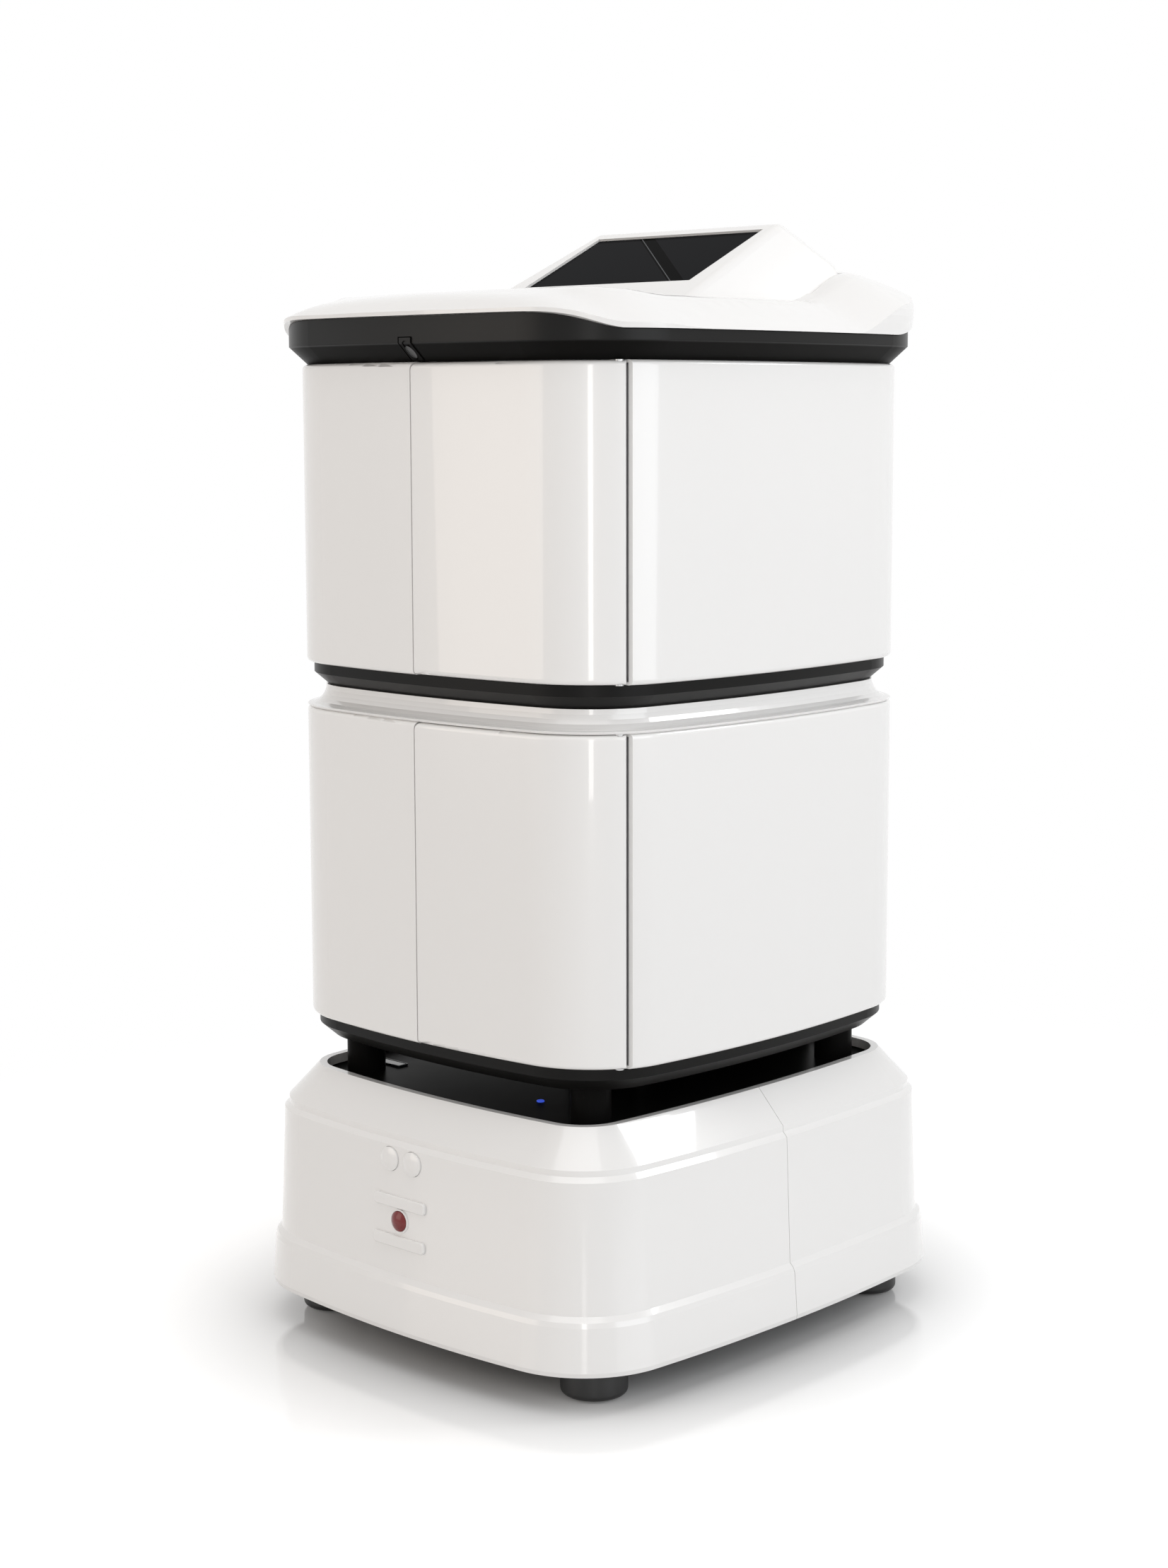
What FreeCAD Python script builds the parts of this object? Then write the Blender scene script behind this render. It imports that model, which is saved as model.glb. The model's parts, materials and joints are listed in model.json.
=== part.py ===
import FreeCAD, Part
import math
import os

# Indoor delivery robot: a wheeled base, a lidar gap on four posts, two stacked cabinets that
# each have one wrap-around corner door, a black collar and a hinged lid with a display hood.
# Millimetres. Origin on the floor under the centre of the base, +Z up, front faces -Y.

V = FreeCAD.Vector

# ---- plan outlines: rounded rectangles with faces that bow outwards ----
cabinet_width = 500.0
cabinet_depth = 542.0
cabinet_corner = 104.5
cabinet_bow_front = 26.0
cabinet_bow_side = 28.0
base_margin_x = 26.0
base_margin_y = 42.0
base_width = cabinet_width + 2 * base_margin_x
base_depth = cabinet_depth + 2 * base_margin_y
base_corner = 107.0
base_bow_front = 27.0
base_bow_side = 22.0

# ---- heights, stacked from the floor up ----
ground_gap = 38.0
skirt_height = 55.0
skirt_step = 5.0
base_wall_height = 132.0
bead_height = 11.0
base_shoulder_height = 35.0
deck_recess = 11.0
lidar_gap = 44.0
tray_taper = 13.0
tray_rim = 11.0
lower_wall_height = 330.0
neck_height = 22.5
upper_wall_height = 308.5
collar_slope = 18.0
collar_band = 25.5

# ---- insets of the outlines ----
skirt_lean = 3.5
skirt_step_inset = 6.5
base_wall_lean = 5.5
bead_inset = 5.0
shoulder_inset = 33.0
rim_width = 4.0
tray_inset = 7.5
tray_taper_inset = 15.0
neck_inset = 20.0
collar_foot_inset = 6.0
collar_overhang = 13.4
lid_overhang = 19.4

# ---- walls and clearances ----
cover_wall = 4.0
wall_thickness = 5.0
wall_round = 5.0
liner_wall = 3.0
seat_gap = 0.3
seam_gap = 1.5
running_gap = 0.08
half_seam = 0.3

# ---- doors ----
door_thickness = 12.0
door_corner = 8.0
door_foot_corner = 2.0
front_seam_x = -1.7
side_seam_inset = 68.0
door_frame = 24.0
pivot_radius = 3.0
pivot_length = 9.0
liner_inset = 16.0
flange_height = 3.0
flange_width = 7.0
door_lift = 0.8
pivot_plate = 1.5
pivot_eye = 4.5
pivot_arm = 2.5
door_swing = 100.0
seal_outer = 15.0

# ---- collar top line and lid ----
side_dip = 15.5
rear_dip = 3.0
dip_front_start = 7.0
dip_front_end = 66.0
dip_rear_start = 20.0
dip_rear_end = 112.0
collar_wall = 6.0
lip_height = 4.5
flank_rise = 35.0
flank_run = 62.0
flank_power = 1.25
lid_wall = 4.0
top_dish = 11.0
crown_run = 90.0
rim_wall = 26.0
rim_run = 70.0
rim_front = cabinet_depth / 2 - 171
rim_crest = cabinet_depth / 2 - 81
cavity_taper = 48.0
side_fall = 6.0
side_fall_from = V(70, 71 - cabinet_depth / 2, 0)
side_fall_run = 90.0
well_inset = 85.0
skin_rows = 40
pocket_lift = 2.0
head_deck_thickness = 3.0
head_deck_drop = 12.0
lid_panel_thickness = 3.0
hinge_offset_x = 85.0
hinge_radius = 6.0
hinge_pin_radius = 2.5
hinge_stand_off = 3.0
knuckle_length = 14.0

# ---- display hood ----
hood_front_y = -18.0
hood_back_y = cabinet_depth / 2 - 76
hood_foot_width = 294.0
hood_sink = 12.0
hood_front_share = 2.2
screen_foot_margin = 27.0
screen_top_margin = 18.0
hood_side_tilt = 29.5
hood_side_yaw = 9.6
screen_tilt = 25.7
hood_back_tilt = 40.0
hood_round = 12.0
screen_width = 236.0
screen_length = 130.0
screen_recess = 2.5
glass_thickness = 3.0
module_thickness = 10.0
module_margin = 6.0

# ---- lidar gap ----
post_x = cabinet_width / 2 - 83
post_y = cabinet_depth / 2 - 77
post_radius = 20.5
deck_thickness = 4.0
lidar_radius = 37.0
lidar_base_height = 14.0
lidar_head_height = 22.0
lidar_x = 0.0
lidar_y = 0.0
window_length = 36.0
window_width = 15.0
window_x = 4 - post_x
window_y = 34 - post_y
led_x = 68.0
led_y = 29 - post_y
led_radius = 4.0
trim_height = 1.5
column_width = 0.4 * cabinet_width
column_back = cabinet_depth / 2 - 31
column_front = column_back - 80

# ---- chassis ----
chassis_inset = 14.0
chassis_thickness = 6.0
chassis_clearance = 6.0
pillar_radius = 14.0
box_room = 11.0
box_length = 0.24 * base_depth
box_y = 0.19 * base_depth
battery_height = 96.0
control_height = 60.0
box_round = 5.0
rib_pitch = 22.0
rib_width = 4.0
rib_height = 5.0

# ---- casters ----
caster_x = base_width / 2 - 81
caster_y = base_depth / 2 - 93
pillar_x = caster_x - 45
pillar_y = caster_y - 55
caster_radius = 34.0
caster_round = 6.0
caster_wall = 3.0
caster_lift = 2.0
caster_wheel_radius = 15.0
caster_wheel_width = 18.0
caster_trail = 6.0
caster_axle_radius = 3.0
kingpin_radius = 6.0
kingpin_length = 22.0
swivel_race_radius = 16.0
caster_cup_height = 34.0
caster_places = (
    ("front_left", -1, -1),
    ("front_right", 1, -1),
    ("rear_left", -1, 1),
    ("rear_right", 1, 1),
)

# ---- drive units ----
drive_x = base_width / 2 - 106
tyre_radius = 75.0
tyre_width = 40.0
tyre_round = 6.0
hub_radius = 50.0
hub_dish = 9.0
hub_holes = 6
hub_hole_circle = 29.0
hub_hole_radius = 8.5
hub_rim = 6.0
shaft_radius = 7.0
stub_radius = 6.0
stub_depth = 20.0
motor_radius = 22.0
gearbox_step = 3.0
motor_length = 92.0
arm_thickness = 8.0
arm_radius = 27.0
arm_gap = 3.0
arm_reach = 95.0
arm_beam = 28.0
spring_reach = 62.0
spring_radius = 11.0
spring_bore = 5.0
spring_waist = 9.0
spring_length = 44.0
spring_seat = 5.0
bracket_thickness = 8.0
bracket_width = 30.0
wheel_well_gap = 9.0
spring_clearance = 2.0

# ---- controls on the front of the base ----
button_radius = 12.5
button_spacing = 33.0
button_height = 216.0
button_proud = 4.0
button_stem_radius = 5.0
stop_radius = 10.5
stop_height = 154.2
stop_proud = 6.0
stop_ring_width = 1.8
stop_ring_proud = 1.5
guard_length = 75.0
guard_width = 12.5
guard_corner = 4.0
guard_proud = 3.0
guard_heights = (173.2, 132.5)
switch_depth = 24.0
switch_gap = 5.0
button_travel = 2.0
stop_travel = 4.0

# ---- latch on the front of the collar ----
latch_x = 6.0
latch_width = 16.0
latch_height = 22.0
latch_proud = 1.5
latch_depth = 8.0
latch_travel = 3.0
latch_gap = 1.0
latch_side_room = 3.2
latch_cell_wall = 2.4
latch_pad_radius = 4.4
latch_pad_depth = 1.2
latch_stem_radius = 3.0
latch_stem_length = 14.0


class Plan:
    """A rounded rectangle whose four faces bow outwards; every offset keeps its corner centres."""

    def __init__(self, width, depth, corner, bow_front, bow_side):
        self.half_width = width / 2
        self.half_depth = depth / 2
        self.corner = corner
        self.front_radius = (self.half_width**2 + bow_front**2) / (2 * bow_front)
        self.side_radius = (self.half_depth**2 + bow_side**2) / (2 * bow_side)
        self.front_centre = self.front_radius - self.half_depth
        self.side_centre = self.half_width - self.side_radius
        reach_front = self.front_radius - corner
        reach_side = self.side_radius - corner
        span = math.hypot(self.front_centre, self.side_centre)
        along = (span**2 + reach_front**2 - reach_side**2) / (2 * span)
        across = math.sqrt(reach_front**2 - along**2)
        ux = self.side_centre / span
        uy = -self.front_centre / span
        self.cx = abs(ux * along - uy * across)
        self.cy = abs(self.front_centre + uy * along + ux * across)
        if abs(math.hypot(self.cx, self.front_centre + self.cy) - reach_front) > 0.01:
            self.cx = abs(ux * along + uy * across)
            self.cy = abs(self.front_centre + uy * along - ux * across)

    def tangents(self, offset):
        """Corner tangent points in the +X, +Y quadrant, on the front-like and the side-like arc."""
        front = V(self.cx, self.cy + self.front_centre, 0).normalize()
        side = V(self.cx - self.side_centre, self.cy, 0).normalize()
        centre = V(self.cx, self.cy, 0)
        radius = self.corner + offset
        middle = V(front.x + side.x, front.y + side.y, 0).normalize()
        return [centre + d * radius for d in (front, middle, side)]

    def wire(self, offset, z):
        """The closed outline, offset outwards, at one height."""
        high, middle, low = self.tangents(offset)
        top = V(0, self.half_depth + offset, 0)
        right = V(self.half_width + offset, 0, 0)
        quarter = [(V(-high.x, high.y, 0), top, high), (high, middle, low)]
        quarter.append((low, right, V(low.x, -low.y, 0)))
        quarter.append((V(low.x, -low.y, 0), V(middle.x, -middle.y, 0), V(high.x, -high.y, 0)))
        lift = V(0, 0, z)
        edges = [Part.Arc(a + lift, b + lift, c + lift).toShape() for a, b, c in quarter]
        edges += [Part.Arc(lift - a, lift - b, lift - c).toShape() for a, b, c in quarter]
        return Part.Wire(edges)

    def prism(self, offset, z0, z1):
        return Part.Face(self.wire(offset, z0)).extrude(V(0, 0, z1 - z0))

    def stack(self, levels):
        """A solid through outlines at (offset, height) levels, straight between them."""
        return Part.makeLoft([self.wire(o, z) for o, z in levels], True, True)

    def corner_x(self, y, offset=0.0):
        """Half width of the offset outline at a depth y on its rounded corner."""
        return self.cx + math.sqrt((self.corner + offset) ** 2 - (abs(y) - self.cy) ** 2)

    def front_y(self, x, offset=0.0):
        """Half depth of the bowed front face at width x."""
        radius = self.front_radius + offset
        return math.sqrt(radius**2 - x**2) - self.front_centre

    def inside(self, x, y, offset=0.0):
        """Distance inwards from the offset outline to a point."""
        ax, ay = abs(x), abs(y)
        front = self.front_radius + offset - math.hypot(ax, ay + self.front_centre)
        side = self.side_radius + offset - math.hypot(ax - self.side_centre, ay)
        past_front = (ax * (self.cy + self.front_centre)) > (self.cx * (ay + self.front_centre))
        past_side = (ay * (self.cx - self.side_centre)) > (self.cy * (ax - self.side_centre))
        if past_front and past_side:
            return self.corner + offset - math.hypot(ax - self.cx, ay - self.cy)
        return min(front, side)


cabinet = Plan(cabinet_width, cabinet_depth, cabinet_corner, cabinet_bow_front, cabinet_bow_side)
base = Plan(base_width, base_depth, base_corner, base_bow_front, base_bow_side)

# heights worked out from the stack
skirt_top = ground_gap + skirt_height
base_wall_foot = skirt_top + skirt_step
base_wall_top = base_wall_foot + base_wall_height
shoulder_foot = base_wall_top + bead_height
rim_top = shoulder_foot + base_shoulder_height
deck_top = rim_top - deck_recess
lower_tray_foot = deck_top + lidar_gap
lower_wall_foot = lower_tray_foot + tray_taper + tray_rim
lower_wall_top = lower_wall_foot + lower_wall_height
upper_tray_foot = lower_wall_top + neck_height
upper_wall_foot = upper_tray_foot + tray_taper + tray_rim
upper_wall_top = upper_wall_foot + upper_wall_height
collar_kink = upper_wall_top + collar_slope
collar_top = collar_kink + collar_band
collar_side_top = collar_top - side_dip
collar_rear_top = collar_top - rear_dip

# insets of the base cover, level by level
inset_skirt_top = -skirt_lean
inset_wall_foot = inset_skirt_top - skirt_step_inset
inset_wall_top = inset_wall_foot - base_wall_lean
inset_shoulder = inset_wall_top - bead_inset
inset_rim = inset_shoulder - shoulder_inset

# the door's pivot: a vertical line just inside the outer surface, beside the side seam
side_seam_y = side_seam_inset - cabinet.half_depth
pivot_inset = door_thickness / 2
pivot_y = side_seam_y - pivot_inset
pivot_x = cabinet.corner_x(pivot_y, -pivot_inset)
nose_radius = cabinet.corner_x(pivot_y) - pivot_x
far = cabinet_width
button_xs = (-button_spacing / 2, button_spacing / 2)


def box(x0, x1, y0, y1, z0, z1):
    return Part.makeBox(x1 - x0, y1 - y0, z1 - z0, V(x0, y0, z0))


def rod(radius, length, start, direction=V(0, 0, 1)):
    return Part.makeCylinder(radius, length, start, direction)


def tube(outer, inner, length, start, direction=V(0, 0, 1)):
    return rod(outer, length, start, direction).cut(rod(inner, length, start, direction))


def fused(shapes):
    result = shapes[0]
    for shape in shapes[1:]:
        result = result.fuse(shape)
    return result.removeSplitter()


def rounded(shape, radius, pick):
    """Fillets the edges that pick accepts, and leaves the shape as it is where none match."""
    edges = [e for e in shape.Edges if pick(e)]
    return shape.makeFillet(radius, edges) if edges else shape


def at_depth(y):
    return lambda e: abs(e.BoundBox.YMin - y) < 0.01 and abs(e.BoundBox.YMax - y) < 0.01


def at_height(z):
    return lambda e: abs(e.BoundBox.ZMin - z) < 0.01 and abs(e.BoundBox.ZMax - z) < 0.01


def along_y(x, z):
    """Picks an edge that runs along Y at one width and height."""
    return lambda e: at_height(z)(e) and abs(e.BoundBox.XMin - x) < 0.01 and e.BoundBox.XLength < 0.01


def along_x(y, z):
    """Picks an edge that runs along X at one depth and height."""
    return lambda e: at_height(z)(e) and at_depth(y)(e)


def spline_profile(points, x0, x1):
    """A solid under a smooth YZ line, closed by straight edges and extruded along X."""
    curve = Part.BSplineCurve()
    curve.interpolate(points[:-2])
    edges = [curve.toShape()]
    edges.append(Part.LineSegment(points[-3], points[-2]).toShape())
    edges.append(Part.LineSegment(points[-2], points[-1]).toShape())
    edges.append(Part.LineSegment(points[-1], points[0]).toShape())
    face = Part.Face(Part.Wire(edges))
    return face.extrude(V(x1 - x0, 0, 0))


def save(name, shape):
    shape.exportStep("parts/" + name + ".step")


# ---- base ----


def base_blank():
    """Outer form of the base: skirt, step, leaning wall, bead, shoulder and rim."""
    return base.stack(
        [
            (-cover_wall, ground_gap),
            (-cover_wall / 4, ground_gap + cover_wall / 3),
            (0, ground_gap + 1.5 * cover_wall),
            (inset_skirt_top, skirt_top - skirt_step),
            (inset_skirt_top - skirt_step / 3, skirt_top),
            (inset_wall_foot, base_wall_foot),
            (inset_wall_top, base_wall_top),
            (inset_wall_top - bead_inset / 2, base_wall_top + bead_inset / 2),
            (inset_shoulder, base_wall_top + bead_inset),
            (inset_shoulder, shoulder_foot),
            (inset_rim + rim_width, rim_top - rim_width),
            (inset_rim, rim_top),
        ]
    )


def base_hollow():
    """The room inside the base cover."""
    return base.stack(
        [
            (-2 * cover_wall, ground_gap - 1),
            (inset_skirt_top - cover_wall, skirt_top - skirt_step),
            (inset_wall_foot - cover_wall, base_wall_foot),
            (inset_wall_top - cover_wall, base_wall_top - 2),
            (inset_shoulder - cover_wall, base_wall_top + bead_inset),
            (inset_shoulder - cover_wall, shoulder_foot - 2),
            (inset_rim - rim_width, deck_top + 1),
        ]
    )


def base_cover():
    """White cover in one piece, before it is parted into the front and the rear shell."""
    lip = base.prism(inset_rim - 2 * rim_width, deck_top - 30, rim_top + 10)
    cover = base_blank().cut(base_hollow()).cut(lip)
    seat = base.prism(inset_rim + rim_width, deck_top - deck_thickness - 1, deck_top + seat_gap)
    return cover.cut(seat)


def front_face_y(z):
    """Depth of the base's front wall on the centre line at height z."""
    share = (z - base_wall_foot) / base_wall_height
    return -(base.half_depth + inset_wall_foot - base_wall_lean * share)


switch_face_y = front_face_y(button_height) + cover_wall + button_travel + stop_travel + 1


def facing_front(radius, z, y0, y1, x=0.0):
    """A round bar along Y on the front of the base."""
    return rod(radius, y1 - y0, V(x, y0, z), V(0, 1, 0))


def front_holes():
    """Openings in the front wall for the stems of the two buttons and of the stop button."""
    y0 = -base.half_depth
    y1 = y0 + 60
    holes = [facing_front(button_radius + seat_gap, button_height, y0, y1, x) for x in button_xs]
    holes.append(facing_front(stop_radius + seat_gap, stop_height, y0, y1))
    return holes


def domed_button(radius, x, z, proud, travel):
    """A push button: a crowned cap on a stem that reaches into the switch block."""
    face = front_face_y(z)
    crown = proud * 0.6
    sphere_radius = (radius**2 + crown**2) / (2 * crown)
    cap = facing_front(radius, z, face - proud, face + cover_wall, x)
    ball = Part.makeSphere(sphere_radius, V(x, face - proud + sphere_radius, z))
    cap = cap.common(ball)
    stem_end = switch_face_y + switch_depth / 2 - travel - 1
    stem = facing_front(button_stem_radius, z, face + cover_wall - 1, stem_end, x)
    return fused([cap, stem])


def switch_block():
    """The block behind the front wall that guides the three stems."""
    half = button_spacing / 2 + button_radius + switch_gap
    top = button_height + button_radius + switch_gap
    foot = stop_height - stop_radius - switch_gap
    block = box(-half, half, switch_face_y, switch_face_y + switch_depth, foot, top)
    ears = []
    for sx in (-1, 1):
        wall_y = front_face_y(foot)
        ears.append(box(sx * half - 3, sx * half + 3, wall_y, switch_face_y + 3, foot, top))
    body = fused([block] + ears).common(base_hollow())
    hole = button_stem_radius + running_gap
    end = switch_face_y + switch_depth / 2
    for x in button_xs:
        body = body.cut(facing_front(hole, button_height, switch_face_y, end, x))
    return body.cut(facing_front(hole, stop_height, switch_face_y, end))


def guard_bar(z):
    """One raised bar of the pair that shields the stop button."""
    back = front_face_y(z) + cover_wall / 2
    front = front_face_y(z) - guard_proud
    half = guard_length / 2
    bar = box(-half, half, front, back, z - guard_width / 2, z + guard_width / 2)
    bar = rounded(bar, guard_corner, lambda e: e.BoundBox.YLength > guard_proud)
    bar = rounded(bar, guard_proud / 2, at_depth(front))
    return bar.cut(base_blank())


def stop_ring():
    """Thin white ring round the stop button, seated on the front wall."""
    face = front_face_y(stop_height)
    outer = stop_radius + seat_gap + stop_ring_width
    ring = facing_front(outer, stop_height, face - stop_ring_proud, face + cover_wall / 2)
    ring = ring.cut(facing_front(stop_radius + seat_gap, stop_height, face - 10, face + 10))
    return ring.cut(base_blank())


# ---- cabinets ----


def doorway(z0, z1, grow, pivot_corner=0.0):
    """The corner region of a door, grown or shrunk all round, rounded where its free edge ends."""
    left = front_seam_x - grow
    back = side_seam_y + grow
    foot = z0 - grow
    top = z1 + grow
    from_left = box(left, far, -far, far, foot, top)
    to_back = box(-far, far, -far, back, foot, top)
    corners = [(door_corner, top)]
    if grow <= 0:
        corners.append((door_foot_corner, foot))
    for radius, z in corners:
        turn = max(radius + grow, 1.0)

        from_left = rounded(from_left, turn, along_y(left, z))
        if pivot_corner:
            to_back = rounded(to_back, pivot_corner, along_x(back, z))
    return from_left.common(to_back)


def wall_blank(z0, z1):
    """The cabinet's outer form with its upper and lower edges rounded."""
    blank = cabinet.prism(0, z0, z1)
    return rounded(blank, wall_round, lambda e: at_height(z0)(e) or at_height(z1)(e))


def shells(z0, z1):
    """The two fixed wall shells, parted at the middle of the back, with flanges that bolt down."""
    ring = wall_blank(z0, z1)
    ring = ring.cut(cabinet.prism(-wall_thickness, z0 + flange_height, z1 - flange_height))
    ring = ring.cut(cabinet.prism(-wall_thickness - flange_width, z0 - 1, z1 + 1))
    ring = ring.cut(doorway(z0, z1, seam_gap))
    margin = door_corner + 2 * seam_gap
    right_zone = box(half_seam, far, side_seam_y - margin, far, z0 - 1, z1 + 1)
    past_seam = box(front_seam_x + margin, far, -far, 0, z0 - 1, z1 + 1)
    right_half = box(-half_seam, far, 0, far, z0 - 1, z1 + 1)
    return ring.cut(past_seam).cut(right_half), ring.common(right_zone)


def hinge_slot(z0, z1):
    """The space that a pivot bracket needs in the door, through the whole swing."""
    half = pivot_arm + seat_gap
    centre = V(pivot_x, pivot_y, z0)
    eye = rod(pivot_eye + seat_gap, z1 - z0, centre)
    reach = box(pivot_x - 3 * pivot_inset, pivot_x, pivot_y - half, pivot_y + half, z0, z1)
    start = 180 - door_swing - math.degrees(math.asin(half / pivot_eye))
    radius = math.hypot(liner_inset - pivot_inset, half)
    swept = Part.makeCylinder(radius, z1 - z0, centre, V(0, 0, 1), 180 - start)
    swept.rotate(centre, V(0, 0, 1), start)
    return fused([eye, reach, swept])


def door(z0, z1):
    """A wrap-around corner door: crowned outer skin, rounded pivot edge, bores for both pins."""
    foot = z0 + door_lift
    top = z1 - door_lift
    leaf = wall_blank(foot, top).cut(cabinet.prism(-door_thickness, foot - 1, top + 1))
    leaf = leaf.common(doorway(foot, top, 0, door_foot_corner))
    corner = box(pivot_x, far, pivot_y, side_seam_y + 1, foot - 1, top + 1)
    leaf = leaf.cut(corner.cut(rod(nose_radius, top - foot + 4, V(pivot_x, pivot_y, foot - 2))))
    deep = pivot_plate + seat_gap
    leaf = leaf.cut(hinge_slot(z0 - 1, z0 + deep))
    leaf = leaf.cut(hinge_slot(z1 - deep, z1 + 1))
    bore = pivot_radius + running_gap
    depth = deep + pivot_length + 1
    leaf = leaf.cut(rod(bore, depth, V(pivot_x, pivot_y, z0)))
    leaf = leaf.cut(rod(bore, depth, V(pivot_x, pivot_y, z1 - depth)))
    return leaf


def pivots(z0, z1):
    """Upper and lower pivot brackets with their pins, bolted to the tray and to the part above."""
    back = liner_inset - pivot_inset - seat_gap
    plates = []
    for z, sign in ((z0, 1), (z1, -1)):
        low = min(z, z + sign * pivot_plate)
        plate = rod(pivot_eye, pivot_plate, V(pivot_x, pivot_y, low))
        y0, y1 = pivot_y - pivot_arm, pivot_y + pivot_arm
        arm = box(pivot_x - back, pivot_x, y0, y1, low, low + pivot_plate)
        pin_low = z if sign > 0 else z - pivot_plate - pivot_length
        pin = rod(pivot_radius, pivot_plate + pivot_length, V(pivot_x, pivot_y, pin_low))
        plates.append(fused([plate, arm, pin]))
    return Part.makeCompound(plates)


def liner(z0, z1):
    """The compartment inside a cabinet, open behind the door."""
    body = cabinet.prism(-liner_inset, z0, z1)
    body = body.cut(cabinet.prism(-liner_inset - liner_wall, z0 + liner_wall, z1 - liner_wall))
    return body.cut(doorway(z0, z1, -door_frame))


def seal(z0, z1):
    """The rubber seal on the liner's frame, which the closed door presses."""
    band = cabinet.prism(-door_thickness - seat_gap, z0, z1)
    band = band.cut(cabinet.prism(-liner_inset, z0 - 1, z1 + 1))
    band = band.common(doorway(z0, z1, -seal_outer))
    return band.cut(doorway(z0, z1, -door_frame))


def tray(foot):
    """Black tray under a cabinet, tapered below, hollow above its floor."""
    kink = foot + tray_taper
    top = kink + tray_rim
    low = -tray_inset - tray_taper_inset
    outer = cabinet.stack([(low, foot), (-tray_inset, kink), (-tray_inset, top)])
    mouth = -wall_thickness - flange_width - 2
    inner = cabinet.stack([(low - cover_wall, foot + cover_wall), (low + 2, kink), (mouth, top + 1)])
    return outer.cut(inner)


def neck():
    """White shoulder on the lower cabinet: a cove that sweeps in to the upper tray."""
    steps = 6
    levels = [(-wall_round / 3, lower_wall_top), (0, lower_wall_top + wall_round / 3)]
    start = lower_wall_top + wall_round / 2
    rise = upper_tray_foot - start
    for i in range(steps + 1):
        angle = math.pi / 2 * i / steps
        offset = -1.0 - (neck_inset - 1.0) * math.sin(angle)
        levels.append((offset, start + rise * (1 - math.cos(angle))))
    outer = cabinet.stack(levels)
    inner = cabinet.prism(-neck_inset - cover_wall, lower_wall_top + cover_wall, upper_tray_foot + 1)
    return outer.cut(inner)


# ---- head ----


def smooth_step(t):
    t = min(max(t, 0.0), 1.0)
    return t * t * (3 - 2 * t)


def top_line(y, offset=0.0):
    """Height of the collar's top edge at depth y: high at the front, low beside, raised behind."""
    front = -(cabinet.half_depth + collar_overhang)
    back = -front
    down = smooth_step((y - front - dip_front_start) / (dip_front_end - dip_front_start))
    up = smooth_step((y - back + dip_rear_end) / (dip_rear_end - dip_rear_start))
    low = collar_top - side_dip * down
    return low + (side_dip - rear_dip) * up * down + offset


def above_line(offset):
    """Everything above the collar's top line, as a cutting solid."""
    reach = cabinet.half_depth + 60
    count = 36
    ys = [-reach + 2 * reach * i / count for i in range(count + 1)]
    points = [V(-far, y, top_line(y, offset)) for y in ys]
    points.append(V(-far, reach, collar_top + 200))
    points.append(V(-far, -reach, collar_top + 200))
    return spline_profile(points, -far, far)


def latch_profile(y_shift, grow, x0, x1):
    """Section of the latch tab along the collar's slope and kink, extruded along X."""
    front = -(cabinet.half_depth - collar_foot_inset)
    out = -(cabinet.half_depth + collar_overhang)
    slope = (out - front) / collar_slope
    foot = upper_wall_top + 1 - grow
    top = foot + latch_height + 2 * grow
    first = V(x0, front + slope * (foot - upper_wall_top) - y_shift, foot)
    kink = V(x0, out - y_shift, collar_kink)
    last = V(x0, out - y_shift, top)
    depth = V(0, y_shift + latch_depth + grow, 0)
    points = [first, kink, last, last + depth, kink + depth, first + depth]
    face = Part.Face(Part.makePolygon(points + [points[0]]))
    return face.extrude(V(x1 - x0, 0, 0))


def latch_stem(grow, length):
    """The latch's guide stem, or with a grow the bore it runs in."""
    start = V(latch_x, -cabinet.half_depth, upper_wall_top + 1 + latch_height / 2)
    return rod(latch_stem_radius + grow, length, start, V(0, 1, 0))


def latch():
    """Sprung latch tab with rounded corners and a shallow oval finger pad."""
    half = latch_width / 2
    x0, x1 = latch_x - half, latch_x + half
    tab = latch_profile(latch_proud, 0, x0, x1)
    skin = latch_profile(latch_proud, 1, x0, x1)
    skin = skin.cut(latch_profile(latch_proud - latch_pad_depth, 1, x0, x1))
    low = upper_wall_top + 2 + latch_pad_radius
    high = collar_kink - latch_pad_radius / 2
    y0 = -cabinet.half_depth - 3 * collar_overhang
    reach = 6 * collar_overhang
    ends = [rod(latch_pad_radius, reach, V(latch_x, y0, z), V(0, 1, 0)) for z in (low, high)]
    bar = box(latch_x - latch_pad_radius, latch_x + latch_pad_radius, y0, y0 + reach, low, high)
    tab = tab.cut(fused([bar] + ends).common(skin))
    return fused([tab, latch_stem(0, latch_stem_length)])


def collar():
    """Black collar that flares out to the lid and carries the latch and the hinge knuckles."""
    band = [(collar_overhang, collar_kink), (collar_overhang, collar_top + 1)]
    outer = cabinet.stack([(-collar_foot_inset, upper_wall_top)] + band)
    inset = -collar_foot_inset - collar_wall
    ring = outer.cut(collar_pocket(inset)).cut(above_line(0))
    ring = fused([ring, latch_cell(0)])
    half = latch_width / 2
    low, high = latch_x - half - latch_side_room, latch_x + half + latch_gap
    recess = latch_profile(latch_proud, latch_gap, low, high)
    ring = ring.cut(recess).cut(moved(recess, V(0, latch_travel, 0)))
    ring = ring.cut(moved(recess, V(0, -latch_depth, 0)))
    ring = ring.cut(latch_stem(running_gap, 2 * latch_stem_length))
    return fused([ring] + [knuckle(x, 0) for x in hinge_xs])


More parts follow.
